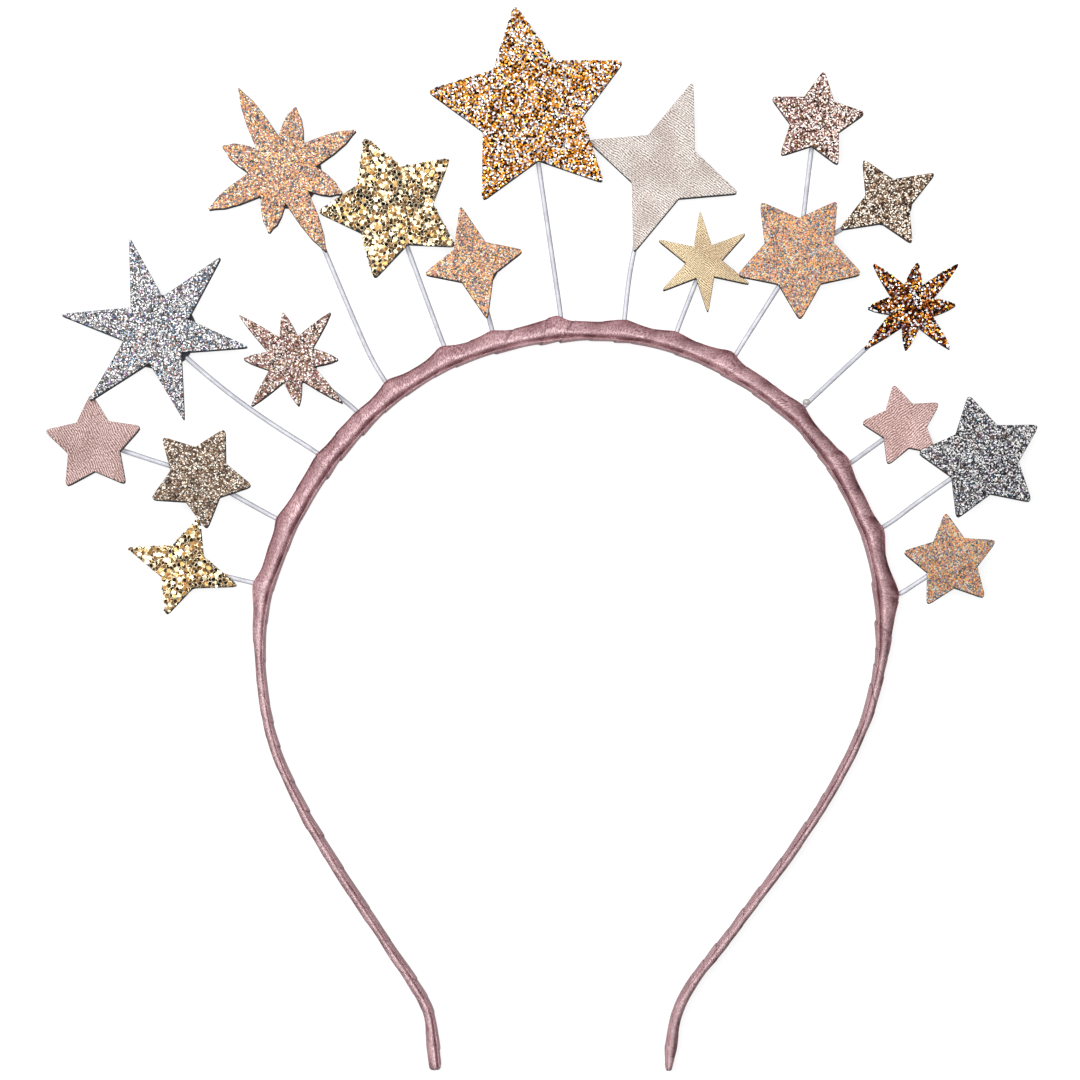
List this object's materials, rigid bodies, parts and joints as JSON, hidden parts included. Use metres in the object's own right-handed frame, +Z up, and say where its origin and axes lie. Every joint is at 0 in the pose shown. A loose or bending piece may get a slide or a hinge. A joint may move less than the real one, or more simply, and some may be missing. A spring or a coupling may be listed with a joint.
{
  "type": "star headband",
  "caption": "Headband of a slim ribbon-wound spring band, with a fan of flat glitter and leather stars on thin coated wire stems round the crown.",
  "frame": {"origin": "middle of the underside of the whole thing's box, where the band rests on a surface", "axes": "+Z up from that surface, out of the stars' faces, and +Y from the band's tips to the crown star"},
  "size_m": [0.198, 0.2124, 0.0084],
  "materials": {
    "satin_ribbon": "dusty pink satin ribbon, softly shiny",
    "coated_wire": "smooth pale grey coating on wire",
    "felt": "near-black blue felt",
    "silver_glitter": "fine silver glitter on fabric",
    "champagne_glitter": "fine champagne glitter on fabric",
    "gold_flakes": "chunky six-sided gold flakes on fabric",
    "rose_glitter": "fine rose glitter on fabric",
    "peach_glitter": "fine holographic peach glitter on fabric",
    "bronze_glitter": "coarse gold, white and bronze glitter on fabric",
    "copper_glitter": "coarse copper and brown glitter on fabric",
    "pink_leather": "pebbled metallic pink, soft sheen",
    "pearl_leather": "pebbled pearl, soft sheen",
    "gold_leather": "pebbled pale gold, soft sheen"
  },
  "bodies": {
    "root": {"satin_band": "satin_ribbon", "stem_pink_left": "coated_wire", "star_pink_left": "pink_leather", "patch_pink_left": "felt", "stem_silver_left": "coated_wire", "star_silver_left": "silver_glitter", "patch_silver_left": "felt", "star_champagne_left": "champagne_glitter", "patch_champagne_left": "felt", "stem_gold_left": "coated_wire", "star_gold_left": "gold_flakes", "patch_gold_left": "felt", "stem_rose_eight": "coated_wire", "star_rose_eight": "rose_glitter", "patch_rose_eight": "felt", "stem_peach_eight": "coated_wire", "star_peach_eight": "peach_glitter", "patch_peach_eight": "felt", "stem_gold_top": "coated_wire", "star_gold_top": "gold_flakes", "patch_gold_top": "felt", "stem_peach_four": "coated_wire", "star_peach_four": "peach_glitter", "patch_peach_four": "felt", "stem_bronze_crown": "coated_wire", "star_bronze_crown": "bronze_glitter", "patch_bronze_crown": "felt", "stem_pearl_four": "coated_wire", "star_pearl_four": "pearl_leather", "patch_pearl_four": "felt", "stem_gold_six": "coated_wire", "star_gold_six": "gold_leather", "patch_gold_six": "felt", "stem_rose_right": "coated_wire", "star_rose_right": "rose_glitter", "patch_rose_right": "felt", "stem_peach_right": "coated_wire", "star_peach_right": "peach_glitter", "patch_peach_right": "felt", "stem_champagne_right": "coated_wire", "star_champagne_right": "champagne_glitter", "patch_champagne_right": "felt", "stem_copper_eight": "coated_wire", "star_copper_eight": "copper_glitter", "patch_copper_eight": "felt", "stem_pink_right": "coated_wire", "star_pink_right": "pink_leather", "patch_pink_right": "felt", "stem_silver_right": "coated_wire", "star_silver_right": "silver_glitter", "patch_silver_right": "felt", "stem_peach_low": "coated_wire", "star_peach_low": "peach_glitter", "patch_peach_low": "felt"}
  },
  "joints": []
}
